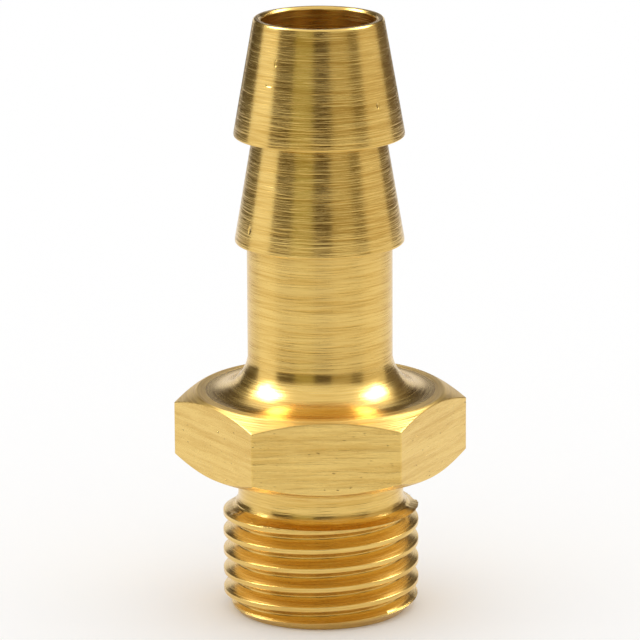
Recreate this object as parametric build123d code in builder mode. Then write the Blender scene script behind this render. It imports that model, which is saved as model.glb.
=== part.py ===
from build123d import *
import os
from math import cos, radians, sin, sqrt, tan

# Hose barb tail: one piece turned from hexagon bar, bored right through.
# Millimetres. The threaded end face lies on Z = 0 and the hose end is up; two of the flats face along Y.

# Bore
bore_diameter = 7.6
bore_chamfer = 0.3

# Thread, ISO 228 G 1/4, right-handed, cut as one helical groove
thread_diameter = 13.157
thread_pitch = 1.337
thread_depth = 0.856
thread_flank_angle = 27.5
thread_crest_land = 0.3
thread_length = 7.12
thread_end_chamfer = 0.88
cutter_overhang = 0.05

# Relief between the thread and the hexagon's seat, turned a little below the thread's floor
relief_undercut = 0.17
relief_width = 2.88
relief_flare_length = 0.86

# Hexagon, with its corners turned down at both faces
hex_across_flats = 17.0
hex_height = 5.12
hex_face_diameter = 16.6
hex_chamfer_angle = 27.5
turning_clearance = 0.5

# Stem, with a large fillet at its foot that leaves the stem at a slight angle and ends flat on the hexagon
stem_diameter = 9.7
stem_length = 10.24
stem_fillet_height = 2.3
stem_fillet_reach = 2.65
stem_fillet_start_angle = 8

# Barbs: a cone that grows towards the hexagon, then a narrow land and a square shoulder
barb_land = 0.17
lower_barb_length = 7.19
lower_barb_diameter = 11.28
lower_barb_start_wall = 0.635
tip_barb_length = 7.85
tip_barb_diameter = 11.36
tip_wall = 0.54
tip_edge_chamfer = 0.1

# Levels up the axis
seat_level = thread_length + relief_width
hex_top = seat_level + hex_height
lower_shoulder = hex_top + stem_length
tip_shoulder = lower_shoulder + lower_barb_length
tip_level = tip_shoulder + tip_barb_length

# Radii
thread_radius = thread_diameter / 2
floor_radius = thread_radius - thread_depth
relief_radius = floor_radius - relief_undercut
hex_face_radius = hex_face_diameter / 2
stem_radius = stem_diameter / 2
lower_barb_radius = lower_barb_diameter / 2
tip_barb_radius = tip_barb_diameter / 2
bore_radius = bore_diameter / 2
tip_radius = bore_radius + tip_wall
lower_barb_start_radius = bore_radius + lower_barb_start_wall
turning_radius = hex_across_flats / sqrt(3) + turning_clearance

# The fillet is part of an ellipse round this centre: it starts on the stem and ends level on the hexagon
fillet_half_width = stem_fillet_reach / cos(radians(stem_fillet_start_angle))
fillet_half_height = stem_fillet_height / (1 - sin(radians(stem_fillet_start_angle)))
fillet_centre = (stem_radius + stem_fillet_reach, hex_top + fillet_half_height)

# The hexagon's corners fall away from its face at the chamfer's angle
corner_fall = (turning_radius - hex_face_radius) * tan(radians(hex_chamfer_angle))

# The groove is a V with a narrow flat floor, as wide as the pitch less the land that is left at the crest
flank_slope = tan(radians(thread_flank_angle))
groove_half_width = (thread_pitch - thread_crest_land) / 2
floor_half_width = groove_half_width - thread_depth * flank_slope
cutter_radius = thread_radius + cutter_overhang
cutter_half_width = groove_half_width + cutter_overhang * flank_slope

# It starts one pitch below the end face, at +X, and runs out where the flare meets the relief
groove_start = -thread_pitch
groove_end = thread_length + relief_flare_length + floor_half_width

with BuildPart() as hose_tail:
    # Hexagon prism, kept only inside the cone that turns its corners down
    with BuildSketch(Plane.XY.offset(seat_level)):
        RegularPolygon(hex_across_flats / 2, 6, major_radius=False)
    extrude(amount=hex_height)
    with BuildSketch(Plane.XZ):
        with BuildLine():
            Polyline(
                (0, seat_level),
                (hex_face_radius, seat_level),
                (turning_radius, seat_level + corner_fall),
                (turning_radius, hex_top - corner_fall),
                (hex_face_radius, hex_top),
                (0, hex_top),
                close=True,
            )
        make_face()
    revolve(axis=Axis.Z, mode=Mode.INTERSECT)

    # Turned outline, from the end face up through the relief, the stem and both barbs to the tip
    with BuildSketch(Plane.XZ):
        with BuildLine():
            Polyline(
                (stem_radius + stem_fillet_reach, hex_top),
                (relief_radius, hex_top),
                (relief_radius, thread_length + relief_flare_length),
                (thread_radius, thread_length),
                (thread_radius, thread_end_chamfer),
                (thread_radius - thread_end_chamfer, 0),
                (0, 0),
                (0, tip_level),
                (tip_radius - tip_edge_chamfer, tip_level),
                (tip_radius, tip_level - tip_edge_chamfer),
                (tip_barb_radius, tip_shoulder + barb_land),
                (tip_barb_radius, tip_shoulder),
                (lower_barb_start_radius, tip_shoulder),
                (lower_barb_radius, lower_shoulder + barb_land),
                (lower_barb_radius, lower_shoulder),
                (stem_radius, lower_shoulder),
                (stem_radius, hex_top + stem_fillet_height),
            )
            EllipticalCenterArc(
                fillet_centre,
                fillet_half_width,
                fillet_half_height,
                start_angle=180 + stem_fillet_start_angle,
                arc_size=90 - stem_fillet_start_angle,
            )
        make_face()
    revolve(axis=Axis.Z)

    # Bore, broken at both mouths
    Hole(bore_radius)
    end_faces = hose_tail.faces().filter_by(Axis.Z).sort_by(Axis.Z)
    bore_mouths = [face.inner_wires()[0].edge() for face in (end_faces[0], end_faces[-1])]
    chamfer(bore_mouths, bore_chamfer)

    # Thread groove: its section swept up the helix, from below the end face into the relief
    with BuildLine() as groove_line:
        Helix(thread_pitch, groove_end - groove_start, floor_radius, center=(0, 0, groove_start))
    with BuildSketch(Plane.XZ):
        with BuildLine():
            Polyline(
                (floor_radius, groove_start - floor_half_width),
                (cutter_radius, groove_start - cutter_half_width),
                (cutter_radius, groove_start + cutter_half_width),
                (floor_radius, groove_start + floor_half_width),
                close=True,
            )
        make_face()
    sweep(path=groove_line.line, is_frenet=True, mode=Mode.SUBTRACT)

hose_tail.part.label = "hose_tail"

os.makedirs("parts", exist_ok=True)
export_step(hose_tail.part, "parts/hose_tail.step")
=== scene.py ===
import math

import bmesh
import bpy
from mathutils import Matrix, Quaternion, Vector


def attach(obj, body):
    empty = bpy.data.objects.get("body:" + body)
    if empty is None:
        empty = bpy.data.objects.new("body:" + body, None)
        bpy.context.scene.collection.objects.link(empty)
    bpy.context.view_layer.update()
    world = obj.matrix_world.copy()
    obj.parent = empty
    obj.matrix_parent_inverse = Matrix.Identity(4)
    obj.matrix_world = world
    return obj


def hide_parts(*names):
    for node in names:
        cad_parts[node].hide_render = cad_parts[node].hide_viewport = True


# Hose barb tail in brass: one turned piece with a hexagon and a right-handed pipe thread.
# Metres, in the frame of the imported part: threaded end face on Z = 0, hose end up, two flats facing along Y.

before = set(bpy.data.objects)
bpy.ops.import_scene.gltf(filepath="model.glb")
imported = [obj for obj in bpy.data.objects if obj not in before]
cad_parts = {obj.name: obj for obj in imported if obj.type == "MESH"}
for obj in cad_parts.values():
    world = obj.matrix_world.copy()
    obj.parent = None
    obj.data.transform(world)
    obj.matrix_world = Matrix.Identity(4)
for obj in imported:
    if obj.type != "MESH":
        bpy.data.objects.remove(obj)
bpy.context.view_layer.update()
MM = 0.001

# Sizes of the part, in millimetres
BORE = 3.8
BORE_CHAMFER = 0.3
TIP_BORE_CHAMFER = 0.15
THREAD_RADIUS = 6.5785
THREAD_PITCH = 1.337
THREAD_FLANK = math.radians(27.5)
THREAD_LAND = 0.3
THREAD_DEPTH = 0.856
THREAD_LENGTH = 7.12
THREAD_CHAMFER = 0.88
THREAD_EDGE = 0.03
RELIEF = 5.5525
RELIEF_FLARE = 0.86
RELIEF_FILLET = 1.4
SEAT = 10.0
HEX_APOTHEM = 8.5
HEX_TOP = 15.12
HEX_FACE = 8.3
HEX_CHAMFER = math.radians(27.5)
STEM = 4.85
STEM_FILLET = 2.3
STEM_BLEND = math.radians(8)
LOWER_SHOULDER = 25.36
TIP_SHOULDER = 32.55
TIP_END = 40.4
BARB_LAND = 0.17
LOWER_BARB = 5.64
LOWER_BARB_START = 4.435
TIP_BARB = 5.68
TIP = 4.34
TIP_EDGE = 0.1

# Small roundings of edges, and the burr left at the thread's upper end: how deep, and how fine round the axis
EDGE = 0.05
HEX_EDGE = 0.15
BURR = 0.25
BURR_FINENESS = 22.0

# The thread's mesh: whole turns up to the body's, the height it starts at, and how near the upper edge its
# rows are drawn level with it. Then how near two points of a seam must be to join
THREAD_TURNS = 6
THREAD_FOOT = 0.02
EDGE_REACH = 0.08
MERGE = 0.002

# Columns round the axis, and how far they crowd towards the hexagon's corners
COLUMNS = 288
COLUMN_CROWDING = 0.85

# Brass tones: the deep one is painted shade in the tool marks and also the low end of the flats' own tone; the
# pit one is painted shade in the pits
BRASS_PALE = (0.84, 0.585, 0.185, 1)
BRASS_DEEP = (0.66, 0.41, 0.10, 1)
BRASS_PIT_SHADE = (0.20, 0.11, 0.03, 1)

# Nicks on the barbs: place and half sizes in millimetres
NICKS = (
    ((-3.44, -3.63, 36.6), (0.35, 0.35, 0.12)),
    ((-2.98, -3.69, 38.1), (0.12, 0.12, 0.3)),
    ((3.7, -3.72, 35.2), (0.15, 0.15, 0.25)),
    ((-4.7, -2.66, 26.7), (0.2, 0.2, 0.35)),
)

# Finishes, stored on the mesh for the brass to read. Those that meet on the piece are numbered side by side
FLATS, FACED, POLISHED, STEM_TURNED, TURNED, THREADED, BORED = range(7)
FINE_MARKS = {TURNED: 1.5, STEM_TURNED: 1.1, FACED: 1.8, POLISHED: 0.25, THREADED: 0.5, BORED: 0.5}
COARSE_MARKS = {TURNED: 0.9, STEM_TURNED: 0.15, FACED: 2.6, POLISHED: 0.3, THREADED: 0.4, BORED: 0.2}
ROUGHNESS = {
    TURNED: 0.24, STEM_TURNED: 0.28, FACED: 0.38, POLISHED: 0.25, FLATS: 0.28, THREADED: 0.25, BORED: 0.25,
}
MARK_DEPTH = 0.018

# Camera: angles in degrees, lengths in millimetres
CAMERA_BEARING = -2.567
CAMERA_HEIGHT = 14.29
CAMERA_ROLL = -0.264
CAMERA_DISTANCE = 340
CAMERA_AIM = 19.861
CAMERA_LENS = 286.35

# Studio: half the floor's side and the softboxes' distance in metres, then degrees for each facet of a card
FLOOR_HALF = 3.0
SOFTBOX_DISTANCE = 0.45
CARD_STEP = 6


# ---- Camera -------------------------------------------------------------------------------------------

def place_camera():
    azimuth, elevation, roll = (math.radians(turn) for turn in (CAMERA_BEARING, CAMERA_HEIGHT, CAMERA_ROLL))
    distance, target = CAMERA_DISTANCE * MM, Vector((0, 0, CAMERA_AIM * MM))
    back = Vector((
        math.sin(azimuth) * math.cos(elevation),
        -math.cos(azimuth) * math.cos(elevation),
        math.sin(elevation),
    ))
    data = bpy.data.cameras.new("camera")
    data.sensor_width = 36.0
    data.lens = CAMERA_LENS
    data.clip_start, data.clip_end = 0.01, 10.0
    camera = bpy.data.objects.new("camera", data)
    camera.rotation_mode = "QUATERNION"
    camera.location = target + back * distance
    camera.rotation_quaternion = (-back).to_track_quat("-Z", "Y") @ Quaternion((0, 0, 1), roll)
    bpy.context.collection.objects.link(camera)
    bpy.context.scene.camera = camera


# ---- Building blocks for node trees -------------------------------------------------------------------

class Nodes:
    """Adds nodes to a tree and links them; a plain number or vector goes straight on the socket."""

    def __init__(self, tree):
        self.tree = tree

    def add(self, kind, inputs=(), **settings):
        node = self.tree.nodes.new(kind)
        for name, value in settings.items():
            setattr(node, name, value)
        for name, value in dict(inputs).items():
            self.feed(node.inputs[name], value)
        return node

    def feed(self, socket, value):
        if isinstance(value, bpy.types.NodeSocket):
            self.tree.links.new(value, socket)
        else:
            socket.default_value = value

    def math(self, operation, *values):
        return self.add("ShaderNodeMath", enumerate(values), operation=operation).outputs[0]

    def times(self, a, b):
        return self.math("MULTIPLY", a, b)

    def plus(self, a, b):
        return self.math("ADD", a, b)

    def minus(self, a, b):
        return self.math("SUBTRACT", a, b)


def geometry_tree(name, sizes, takes_geometry=False):
    """A Geometry Nodes tree with one named input a size. Returns it, its Nodes and its size sockets."""
    tree = bpy.data.node_groups.new(name, "GeometryNodeTree")
    tree.is_modifier = True
    if takes_geometry:
        tree.interface.new_socket("Geometry", in_out="INPUT", socket_type="NodeSocketGeometry")
    for size in sizes:
        kind = "NodeSocketInt" if isinstance(sizes[size], int) else "NodeSocketFloat"
        tree.interface.new_socket(size, in_out="INPUT", socket_type=kind)
    tree.interface.new_socket("Geometry", in_out="OUTPUT", socket_type="NodeSocketGeometry")
    nodes = Nodes(tree)
    return tree, nodes, nodes.add("NodeGroupInput").outputs


def grow(name, tree, sizes, mesh=None):
    """Runs the tree on a new object with these sizes and returns the plain mesh that it makes."""
    holder = bpy.data.objects.new(name, mesh or bpy.data.meshes.new(name))
    bpy.context.collection.objects.link(holder)
    modifier = holder.modifiers.new(name, "NODES")
    modifier.node_group = tree
    for item in tree.interface.items_tree:
        if item.in_out == "INPUT" and item.name in sizes:
            modifier[item.identifier] = sizes[item.name]
    evaluated = holder.evaluated_get(bpy.context.evaluated_depsgraph_get())
    made = bpy.data.meshes.new_from_object(evaluated)
    bpy.data.objects.remove(holder)
    return made


# ---- Half sections ------------------------------------------------------------------------------------

class Outline:
    """Half section, point by point. A point may reach out to the hexagon's corner and fall along with it."""

    def __init__(self, r, z, reach=0.0, fall=0.0):
        self.points, self.finishes = [(r, z, reach, fall)], []

    def line(self, r, z, finish=TURNED, steps=1, reach=0.0, fall=0.0):
        start, end = self.points[-1], (r, z, reach, fall)
        for step in range(1, steps + 1):
            share = step / steps
            self.points.append(tuple(a + (b - a) * share for a, b in zip(start, end)))
            self.finishes.append(finish)

    def arc(self, centre_r, centre_z, radius, start, end, steps, finish=TURNED):
        for step in range(1, steps + 1):
            angle = start + (end - start) * step / steps
            self.line(centre_r + radius * math.cos(angle), centre_z + radius * math.sin(angle), finish)

    def soften(self, width, sharpest=math.radians(16)):
        """Rounds each corner over this width, with a short straight piece kept on either side of it."""
        points, finishes = [self.points[0]], []
        for i in range(1, len(self.points) - 1):
            before, corner, after = (Vector(self.points[j]) for j in (i - 1, i, i + 1))
            back, on = before - corner, after - corner
            turn = math.pi - back.xy.angle(on.xy)
            if turn < sharpest:
                points.append(self.points[i])
                finishes.append(self.finishes[i - 1])
                continue
            back *= min(width / back.xy.length, 0.3)
            on *= min(width / on.xy.length, 0.3)
            for share in (1.5, 1.0):
                points.append(tuple(corner + back * share))
                finishes.append(self.finishes[i - 1])
            for share in (0.33, 0.67, 1.0):
                points.append(tuple(corner + back * (1 - share) ** 2 + on * share**2))
                finishes.append(self.finishes[i])
            points.append(tuple(corner + on * 1.5))
            finishes.append(self.finishes[i])
        points.append(self.points[-1])
        finishes.append(self.finishes[-1])
        self.points, self.finishes = points, finishes

    def mesh(self):
        mesh = bpy.data.meshes.new("outline")
        mesh.from_pydata([(r * MM, 0, z * MM) for r, z, reach, fall in self.points], [], [])
        columns = {"reach": [p[2] for p in self.points], "fall": [p[3] for p in self.points]}
        columns["finish"] = self.finishes + self.finishes[-1:]
        columns["along"] = [0.0]
        for a, b in zip(self.points, self.points[1:]):
            columns["along"].append(columns["along"][-1] + math.dist(a[:2], b[:2]))
        for name, values in columns.items():
            mesh.attributes.new(name, "FLOAT", "POINT").data.foreach_set("value", values)
        return mesh


def body_outline():
    """From just above the thread up the outside, then down the bore and out to the foot of the thread."""
    slope = math.tan(HEX_CHAMFER)
    edge_fall = (HEX_APOTHEM - HEX_FACE) * slope
    fillet = STEM_FILLET / (1 - math.sin(STEM_BLEND))
    fillet_r = STEM + fillet * math.cos(STEM_BLEND)
    quarter = math.pi / 2
    outline = Outline(RELIEF, THREAD_TURNS * THREAD_PITCH)
    outline.line(RELIEF, SEAT - RELIEF_FILLET, steps=2)
    outline.arc(RELIEF + RELIEF_FILLET, SEAT - RELIEF_FILLET, RELIEF_FILLET, 2 * quarter, quarter, 14)
    outline.line(HEX_FACE, SEAT, FACED, steps=2)
    outline.line(HEX_APOTHEM, SEAT + edge_fall, FACED, steps=4, reach=1, fall=slope)
    outline.line(HEX_APOTHEM, HEX_TOP - edge_fall, FLATS, steps=4, reach=1, fall=-slope)
    outline.line(HEX_FACE, HEX_TOP, FACED, steps=4)
    outline.line(fillet_r, HEX_TOP, FACED, steps=2)
    outline.arc(fillet_r, HEX_TOP + fillet, fillet, -quarter, STEM_BLEND - 2 * quarter, 24, POLISHED)
    outline.line(STEM, LOWER_SHOULDER, STEM_TURNED, steps=3)
    outline.line(LOWER_BARB, LOWER_SHOULDER, steps=2)
    outline.line(LOWER_BARB, LOWER_SHOULDER + BARB_LAND)
    outline.line(LOWER_BARB_START, TIP_SHOULDER, steps=3)
    outline.line(TIP_BARB, TIP_SHOULDER, steps=2)
    outline.line(TIP_BARB, TIP_SHOULDER + BARB_LAND)
    outline.line(TIP, TIP_END - TIP_EDGE, steps=3)
    outline.line(TIP - TIP_EDGE, TIP_END)
    outline.line(BORE + TIP_BORE_CHAMFER, TIP_END)
    outline.line(BORE, TIP_END - TIP_BORE_CHAMFER)
    outline.line(BORE, BORE_CHAMFER, BORED, steps=5)
    outline.line(BORE + BORE_CHAMFER, 0)
    outline.line(THREAD_RADIUS - THREAD_CHAMFER, 0)
    outline.line(THREAD_RADIUS - THREAD_CHAMFER + THREAD_FOOT, THREAD_FOOT)
    outline.soften(EDGE)
    return outline


def thread_outline():
    """One pitch of the thread, from the middle of a groove to the middle of the next."""
    flank_reach = THREAD_DEPTH * math.tan(THREAD_FLANK)
    crest, crest_edge = THREAD_PITCH / 2, THREAD_PITCH / 2 - THREAD_LAND / 2
    apex = THREAD_RADIUS - crest_edge / math.tan(THREAD_FLANK)
    root = (THREAD_RADIUS - THREAD_DEPTH - apex) / (1 / math.sin(THREAD_FLANK) - 1)
    centre = apex + root / math.sin(THREAD_FLANK)
    steps = 4
    half = Outline(centre - root, 0)
    for step in range(1, steps + 1):
        angle = (math.pi / 2 - THREAD_FLANK) * step / steps
        half.line(centre - root * math.cos(angle), root * math.sin(angle), THREADED)
    half.line(THREAD_RADIUS, crest_edge, THREADED, steps=3)
    half.line(THREAD_RADIUS, crest, THREADED)
    half.soften(THREAD_EDGE)
    mirrored = [(r, THREAD_PITCH - z, reach, fall) for r, z, reach, fall in reversed(half.points[:-1])]
    half.points += mirrored
    half.finishes = [THREADED] * (len(half.points) - 1)
    return half


# ---- Turned body and thread ---------------------------------------------------------------------------

def spread_columns(n, column, columns):
    """Angle of a column round the axis. Columns crowd towards the hexagon's corners, which are rounded."""
    sectors = n.times(n.math("DIVIDE", column, columns), 6)
    wave = n.times(n.math("SINE", n.times(sectors, 2 * math.pi)), COLUMN_CROWDING / (2 * math.pi))
    return n.times(n.minus(sectors, wave), math.pi / 3)


def sample(n, geometry, value, index):
    kind = "FLOAT_VECTOR" if value.type == "VECTOR" else "FLOAT"
    return n.add("GeometryNodeSampleIndex", {"Geometry": geometry, "Value": value, "Index": index},
                 data_type=kind).outputs[0]


def named(n, name):
    return n.add("GeometryNodeInputNamedAttribute", {"Name": name}, data_type="FLOAT").outputs[0]


def wrap_grid(n, rows, columns):
    """A flat grid to be wrapped round Z, with the row and column of each of its points."""
    grid = n.add("GeometryNodeMeshGrid", {"Vertices X": n.plus(columns, 1), "Vertices Y": rows})
    index = n.add("GeometryNodeInputIndex").outputs[0]
    column = n.math("FLOOR", n.math("DIVIDE", index, rows))
    return grid.outputs["Mesh"], n.minus(index, n.times(column, rows)), column


def close_up(n, geometry, finish, along, material):
    """Notes each point's finish and way along the tool's path, then joins the seam and ends the tree."""
    for name, value in (("finish", finish), ("along", along)):
        geometry = n.add("GeometryNodeStoreNamedAttribute", {
            "Geometry": geometry, "Name": name, "Value": value}, data_type="FLOAT", domain="POINT").outputs[0]
    merged = n.add("GeometryNodeMergeByDistance", {"Geometry": geometry, "Distance": MERGE * MM}).outputs[0]
    realized = n.add("GeometryNodeRealizeInstances", {"Geometry": merged}).outputs[0]
    painted = n.add("GeometryNodeSetMaterial", {"Geometry": realized, "Material": material}).outputs[0]
    n.add("NodeGroupOutput", {"Geometry": painted})


def set_round(n, grid, radius, angle, height):
    """Moves each point of the grid to this radius, angle and height."""
    x, y = (n.times(radius, n.math(function, angle)) for function in ("COSINE", "SINE"))
    position = n.add("ShaderNodeCombineXYZ", {"X": x, "Y": y, "Z": height})
    return n.add("GeometryNodeSetPosition", {"Geometry": grid, "Position": position.outputs[0]}).outputs[0]


def lathe_tree(sizes, material):
    """Turns the outline round Z; where it has a reach, it follows the hexagon out to its corners."""
    tree, n, size = geometry_tree("turned body", sizes, takes_geometry=True)
    outline = size["Geometry"]
    rows = n.add("GeometryNodeAttributeDomainSize", {"Geometry": outline}).outputs["Point Count"]
    grid, row, column = wrap_grid(n, rows, size["Columns"])
    angle = spread_columns(n, column, size["Columns"])
    corner = n.math("PINGPONG", n.plus(angle, math.pi / 6), math.pi / 6)
    off_corner = n.minus(math.pi / 6, corner)
    flat = n.math("DIVIDE", size["Apothem"], n.math("COSINE", corner))
    round_centre = n.math("DIVIDE", n.minus(size["Apothem"], size["Corner radius"]), math.cos(math.pi / 6))
    across = n.times(round_centre, n.math("SINE", off_corner))
    bulge = n.math("SQRT", n.math("MAXIMUM", n.minus(
        n.times(size["Corner radius"], size["Corner radius"]), n.times(across, across)), 0))
    rounded = n.plus(n.times(round_centre, n.math("COSINE", off_corner)), bulge)
    flat_half = n.times(n.minus(size["Apothem"], size["Corner radius"]), math.tan(math.pi / 6))
    tangent = n.math("ARCTANGENT", n.math("DIVIDE", flat_half, size["Apothem"]))
    on_corner = n.math("GREATER_THAN", corner, tangent)
    edge = n.plus(flat, n.times(on_corner, n.minus(rounded, flat)))
    to_corner = n.minus(edge, size["Apothem"])
    place = n.add("ShaderNodeSeparateXYZ", {
        0: sample(n, outline, n.add("GeometryNodeInputPosition").outputs[0], row)})
    radius = n.plus(place.outputs["X"], n.times(sample(n, outline, named(n, "reach"), row), to_corner))
    height = n.plus(place.outputs["Z"], n.times(sample(n, outline, named(n, "fall"), row), to_corner))
    turned = set_round(n, grid, radius, angle, height)
    finish, along = (sample(n, outline, named(n, name), row) for name in ("finish", "along"))
    close_up(n, turned, finish, along, material)
    return tree


def screw_tree(sizes, material):
    """Winds one pitch of thread round Z and cuts it back to the end chamfer and the relief's flare."""
    tree, n, size = geometry_tree("screw thread", sizes, takes_geometry=True)
    outline = size["Geometry"]
    point_count = n.add("GeometryNodeAttributeDomainSize", {"Geometry": outline}).outputs["Point Count"]
    step_count = n.minus(point_count, 1)
    rows = n.plus(n.times(step_count, size["Turns"]), 1)
    grid, row, column = wrap_grid(n, rows, size["Columns"])
    angle = spread_columns(n, column, size["Columns"])
    turn = n.math("FLOOR", n.math("DIVIDE", row, step_count))
    step = n.minus(row, n.times(turn, step_count))
    place = n.add("ShaderNodeSeparateXYZ", {
        0: sample(n, outline, n.add("GeometryNodeInputPosition").outputs[0], step)})
    climb = n.plus(n.minus(turn, 1), n.math("DIVIDE", angle, 2 * math.pi))
    height = n.plus(place.outputs["Z"], n.times(climb, size["Pitch"]))
    top = n.times(n.minus(size["Turns"], 1), size["Pitch"])
    height = n.math("MINIMUM", n.math("MAXIMUM", height, size["Foot"]), top)

    # Rows near the upper edge are drawn level with it; near the floor of a groove they would fold over
    to_edge = n.minus(size["Length"], height)
    off_floor = n.math(
        "GREATER_THAN", place.outputs["X"], n.plus(size["Relief"], n.times(size["Flare"], 0.5)))
    near = n.math("LESS_THAN", n.math("ABSOLUTE", to_edge), size["Reach of the edge"])
    at_edge = n.times(off_floor, near)
    height = n.plus(height, n.times(at_edge, to_edge))

    # The end chamfer and the flare cut the thread back, and the cutter leaves a ragged edge at the flare
    end_cone = n.plus(n.minus(size["Radius"], size["Chamfer"]), height)
    down = n.math("MAXIMUM", n.minus(n.plus(size["Length"], size["Flare"]), height), 0)
    across = n.math("SQRT", n.math(
        "MAXIMUM", n.minus(n.times(size["Flare"], size["Flare"]), n.times(down, down)), 0))
    flare = n.minus(n.plus(size["Relief"], size["Flare"]), across)
    in_flare = n.math(
        "GREATER_THAN", n.minus(height, size["Length"]), n.times(size["Reach of the edge"], 0.5))
    limit = n.plus(size["Radius"], n.times(in_flare, n.minus(flare, size["Radius"])))
    radius = n.math("MINIMUM", n.math("MINIMUM", place.outputs["X"], end_cone), limit)
    around = n.add("ShaderNodeCombineXYZ", {"X": n.math("COSINE", angle), "Y": n.math("SINE", angle)})
    ragged = n.add("ShaderNodeTexNoise", {"Vector": around.outputs[0], "Scale": BURR_FINENESS}).outputs[0]
    burr = n.times(at_edge, n.times(n.minus(ragged, 0.5), size["Burr"]))
    radius = n.math("MINIMUM", n.plus(radius, burr), size["Radius"])
    wound = set_round(n, grid, radius, angle, height)

    # The tool follows the thread, except on the chamfer and the flare, where it goes round the axis
    winding = sample(n, outline, named(n, "along"), step)
    on_chamfer = n.math("LESS_THAN", end_cone, n.plus(place.outputs["X"], MERGE * MM))
    off_thread = n.math("MAXIMUM", n.math("MAXIMUM", at_edge, in_flare), on_chamfer)
    climbed = n.times(n.minus(height, top), 1 / MM)
    along = n.plus(winding, n.times(off_thread, n.minus(climbed, winding)))
    finish = n.plus(TURNED, n.times(n.minus(1, in_flare), THREADED - TURNED))
    close_up(n, wound, finish, along, material)
    return tree


def make_hose_tail(material):
    body_sizes = {"Columns": COLUMNS, "Apothem": HEX_APOTHEM * MM, "Corner radius": HEX_EDGE * MM}
    body = grow("turned body", lathe_tree(body_sizes, material), body_sizes, body_outline().mesh())
    screw_sizes = {
        "Columns": COLUMNS, "Turns": THREAD_TURNS + 1, "Foot": THREAD_FOOT * MM,
        "Reach of the edge": EDGE_REACH * MM,
        "Pitch": THREAD_PITCH * MM, "Radius": THREAD_RADIUS * MM, "Length": THREAD_LENGTH * MM,
        "Chamfer": THREAD_CHAMFER * MM, "Relief": RELIEF * MM, "Flare": RELIEF_FLARE * MM, "Burr": BURR * MM,
    }
    screw = grow("screw thread", screw_tree(screw_sizes, material), screw_sizes, thread_outline().mesh())
    joined = bmesh.new()
    joined.from_mesh(body)
    joined.from_mesh(screw)
    bmesh.ops.remove_doubles(joined, verts=joined.verts, dist=MERGE * MM)
    bmesh.ops.dissolve_degenerate(joined, edges=joined.edges, dist=MERGE * MM / 4)
    bmesh.ops.recalc_face_normals(joined, faces=joined.faces)
    mesh = bpy.data.meshes.new("hose tail")
    joined.to_mesh(mesh)
    joined.free()
    mesh.materials.append(material)
    mesh.polygons.foreach_set("material_index", [0] * len(mesh.polygons))
    mesh.shade_smooth()
    mesh.set_sharp_from_angle(angle=math.radians(40))
    tail = bpy.data.objects.new("hose_tail_turned", mesh)
    bpy.context.collection.objects.link(tail)
    return tail


# ---- Brass --------------------------------------------------------------------------------------------

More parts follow.
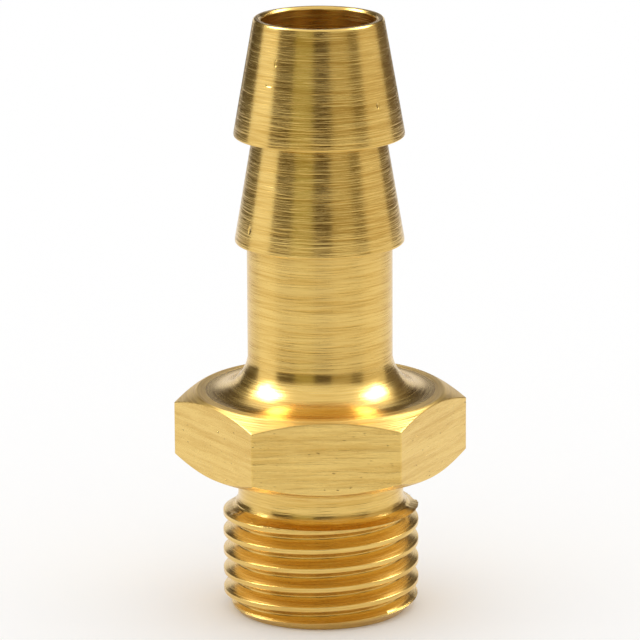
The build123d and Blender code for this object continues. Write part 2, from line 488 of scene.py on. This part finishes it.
def brass_material():
    """Machined brass: tool marks run round the turned parts, the flats keep the skin of the drawn bar."""
    material = bpy.data.materials.new("machined brass")
    material.use_nodes = True
    tree = material.node_tree
    tree.nodes.clear()
    n = Nodes(tree)

    def attribute(name):
        return n.add("ShaderNodeAttribute", attribute_type="GEOMETRY", attribute_name=name).outputs["Fac"]

    def noise(vector, detail=2.0, roughness=0.5):
        return n.add("ShaderNodeTexNoise", {
            "Vector": vector, "Scale": 1.0, "Detail": detail, "Roughness": roughness}).outputs[0]

    def combine(x, y, z):
        return n.add("ShaderNodeCombineXYZ", {"X": x, "Y": y, "Z": z}).outputs[0]

    def between(low, high, value):
        return n.add("ShaderNodeMapRange", {
            "Value": value, "From Min": low, "From Max": high}, interpolation_type="SMOOTHSTEP").outputs[0]

    finish, along = attribute("finish"), attribute("along")
    place = n.add("ShaderNodeSeparateXYZ", {0: n.add("ShaderNodeTexCoord").outputs["Object"]})
    x, y, z = (n.times(place.outputs[axis], 1 / MM) for axis in "XYZ")

    def by_finish(values):
        """The value for the finish of this part of the surface."""
        total = 0.0
        for kind, value in values.items():
            here = n.math("COMPARE", finish, float(kind), 0.5)
            total = n.plus(total, n.times(here, value))
        return total

    # Tool marks: lines along the tool's path, each fading in and out round the piece; faces are cut in rings
    radius = n.math("SQRT", n.plus(n.times(x, x), n.times(y, y)))
    faced = n.math("COMPARE", finish, float(FACED), 0.5)
    along = n.plus(along, n.times(faced, n.minus(radius, along)))
    drift = n.plus(x, n.times(z, 0.9))
    fine = noise(combine(n.times(drift, 0.3), n.times(y, 0.3), n.times(along, 9.0)), 2.0, 0.6)
    coarse = noise(combine(n.times(drift, 0.12), n.times(y, 0.12), n.times(along, 2.6)), 2.0, 0.5)
    marks = n.plus(n.times(fine, by_finish(FINE_MARKS)), n.times(coarse, by_finish(COARSE_MARKS)))

    # Bar skin: long low waves across the flats, a fine grain, scuffs up and down, and a few pits
    waves = noise(combine(n.times(x, 0.09), n.times(y, 0.09), n.times(z, 2.0)), 2.0, 0.5)
    grain = noise(combine(n.times(x, 0.7), n.times(y, 0.7), n.times(z, 8.0)), 3.0, 0.65)
    scuffs = n.times(
        between(0.55, 0.75, noise(combine(n.times(x, 8.0), n.times(y, 8.0), n.times(z, 0.7)))),
        between(0.45, 0.65, noise(combine(n.times(x, 0.4), n.times(y, 0.4), n.times(z, 0.4)))))
    pits = between(0.74, 0.80, noise(combine(n.times(x, 2.2), n.times(y, 2.2), n.times(z, 6.5)), 1.0))
    on_flat = n.math("COMPARE", finish, float(FLATS), 0.5)
    raised = n.plus(n.times(waves, 2.2), n.times(grain, 0.8))
    bar = n.minus(raised, n.plus(n.times(scuffs, 0.5), n.times(pits, 2.5)))

    # Nicks from handling, on the barbs
    dents = 0.0
    for nick, reach in NICKS:
        off = n.add("ShaderNodeVectorMath", {0: combine(x, y, z), 1: nick}, operation="SUBTRACT").outputs[0]
        off = n.add("ShaderNodeVectorMath", {0: off, 1: reach}, operation="DIVIDE").outputs[0]
        depth = n.add("ShaderNodeVectorMath", {0: off}, operation="LENGTH").outputs["Value"]
        dents = n.plus(dents, n.minus(1.0, between(0.3, 1.0, depth)))

    relief = n.minus(n.plus(marks, n.times(bar, on_flat)), n.times(dents, 2.0))
    bump = n.add("ShaderNodeBump", {"Height": relief, "Strength": 1.0, "Distance": MARK_DEPTH * MM})
    roughness = n.plus(by_finish(ROUGHNESS), n.times(n.minus(fine, 0.5), 0.2))

    # Tone: painted shade deepens the tool marks on the turned parts and the pits on the flats; elsewhere on
    # the flats it follows the waves and the grain, set paler overall as painted light
    # Painted shade: the tone darkens where the tool marks cut deeper
    groove_shade = n.plus(n.times(fine, 0.6), n.times(coarse, 0.4))
    rolled = n.plus(n.times(n.minus(waves, 0.5), 2.4), n.times(n.minus(grain, 0.5), 1.6))
    # Painted light: the flats' tone sits paler than the turned parts'; its waves and grain are the bar's own
    # tone
    shade = n.plus(
        n.times(between(0.32, 0.62, groove_shade), n.minus(1.0, on_flat)), n.times(on_flat, n.plus(rolled, 0.75)))
    tone = n.add("ShaderNodeMix", {
        "Factor": shade, 6: BRASS_DEEP, 7: BRASS_PALE}, data_type="RGBA", clamp_factor=True).outputs[2]
    # Painted shade: the pits on the flats are darkened towards the pit tone
    tone_with_pit_shade = n.add("ShaderNodeMix", {
        "Factor": n.times(n.times(pits, on_flat), 0.7), 6: tone, 7: BRASS_PIT_SHADE},
        data_type="RGBA").outputs[2]
    shader = n.add("ShaderNodeBsdfPrincipled", {
        "Base Color": tone_with_pit_shade, "Metallic": 1.0, "Roughness": roughness, "Normal": bump.outputs[0],
        "Anisotropic": 0.5, "Anisotropic Rotation": 0.25,
        "Tangent": n.add("ShaderNodeTangent", direction_type="RADIAL", axis="Z").outputs[0]})
    n.add("ShaderNodeOutputMaterial", {"Surface": shader.outputs[0]})
    return material


# ---- Studio -------------------------------------------------------------------------------------------

def matt(name, shade):
    material = bpy.data.materials.new(name)
    material.use_nodes = True
    shader = material.node_tree.nodes["Principled BSDF"]
    shader.inputs["Base Color"].default_value = (*shade, 1)
    shader.inputs["Roughness"].default_value = 0.95
    shader.inputs["Specular IOR Level"].default_value = 0.0
    return material


def lay_floor():
    mesh = bpy.data.meshes.new("floor")
    half = FLOOR_HALF
    corners = [(-half, -half, 0), (half, -half, 0), (half, half, 0), (-half, half, 0)]
    mesh.from_pydata(corners, [], [(0, 1, 2, 3)])
    mesh.materials.append(matt("white floor", (1.0, 1.0, 1.0)))
    floor = bpy.data.objects.new("floor", mesh)
    bpy.context.collection.objects.link(floor)


def hang_card(name, start, end, foot, head, shade):
    """A card curved round the piece between two bearings, in degrees from the front with right as positive.

    foot and head are its lower and upper edges, each as (distance from the axis, height).
    """
    steps = math.ceil((end - start) / CARD_STEP)
    verts, faces = [], []
    for step in range(steps + 1):
        bearing = math.radians(start + (end - start) * step / steps)
        for away, height in (foot, head):
            verts.append((math.sin(bearing) * away, -math.cos(bearing) * away, height))
        if step:
            faces.append((2 * step - 2, 2 * step, 2 * step + 1, 2 * step - 1))
    mesh = bpy.data.meshes.new(name)
    mesh.from_pydata(verts, [], faces)
    mesh.materials.append(matt(name, shade))
    card = bpy.data.objects.new(name, mesh)
    card.visible_camera = False
    card.visible_shadow = False
    card.visible_diffuse = False
    bpy.context.collection.objects.link(card)


def hang_softbox(name, bearing, height, size, power):
    """A square soft light aimed at the piece, from this bearing and this many degrees up."""
    bearing, height = math.radians(bearing), math.radians(height)
    data = bpy.data.lights.new(name, "AREA")
    data.size, data.energy = size, power
    softbox = bpy.data.objects.new(name, data)
    level = math.cos(height)
    out = Vector((math.sin(bearing) * level, -math.cos(bearing) * level, math.sin(height)))
    softbox.location = out * SOFTBOX_DISTANCE
    softbox.rotation_mode = "QUATERNION"
    softbox.rotation_quaternion = out.to_track_quat("Z", "Y")
    softbox.visible_camera = False
    softbox.visible_diffuse = False
    bpy.context.collection.objects.link(softbox)


def light_studio():
    world = bpy.data.worlds.new("studio")
    world.use_nodes = True
    bpy.context.scene.world = world
    world.node_tree.nodes["Background"].inputs["Color"].default_value = (1, 1, 1, 1)
    world.node_tree.nodes["Background"].inputs["Strength"].default_value = 1.0
    foot, low, high = (0.3, 0), (0.3, 0.2), (0.3, 0.26)
    near_floor, far_floor, gap = (0.17, 0.001), (0.3, 0.001), (0.3, 0.085)
    hang_card("left flag", -74, -42, foot, low, (0.1, 0.08, 0.05))
    hang_card("left grey card", -42, -12, foot, low, (0.42, 0.40, 0.2))
    hang_card("camera side flag", -12, 15, foot, low, (0.045, 0.024, 0.005))
    hang_card("right grey card", 15, 47, foot, low, (0.46, 0.41, 0.27))
    hang_card("right flag", 47, 67, foot, low, (0.2, 0.17, 0.11))
    hang_card("right pale card", 67, 113, foot, low, (0.68, 0.62, 0.5))
    hang_card("right back flag", 113, 152, near_floor, high, (0.14, 0.11, 0.08))
    hang_card("far flag", 152, 208, gap, high, (0.06, 0.045, 0.03))
    hang_card("far floor card", 152, 208, near_floor, far_floor, (0.1, 0.08, 0.05))
    hang_card("left back flag", 208, 248, near_floor, high, (0.09, 0.075, 0.045))
    hang_softbox("left softbox", -106, 46, 0.22, 1.65)
    hang_softbox("right softbox", 106, 46, 0.2, 1.2)


# ---- Scene --------------------------------------------------------------------------------------------

scene = bpy.context.scene
scene.view_settings.view_transform = "Standard"
place_camera()
light_studio()
lay_floor()
tail = make_hose_tail(brass_material())
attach(tail, "root")
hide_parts("hose_tail")
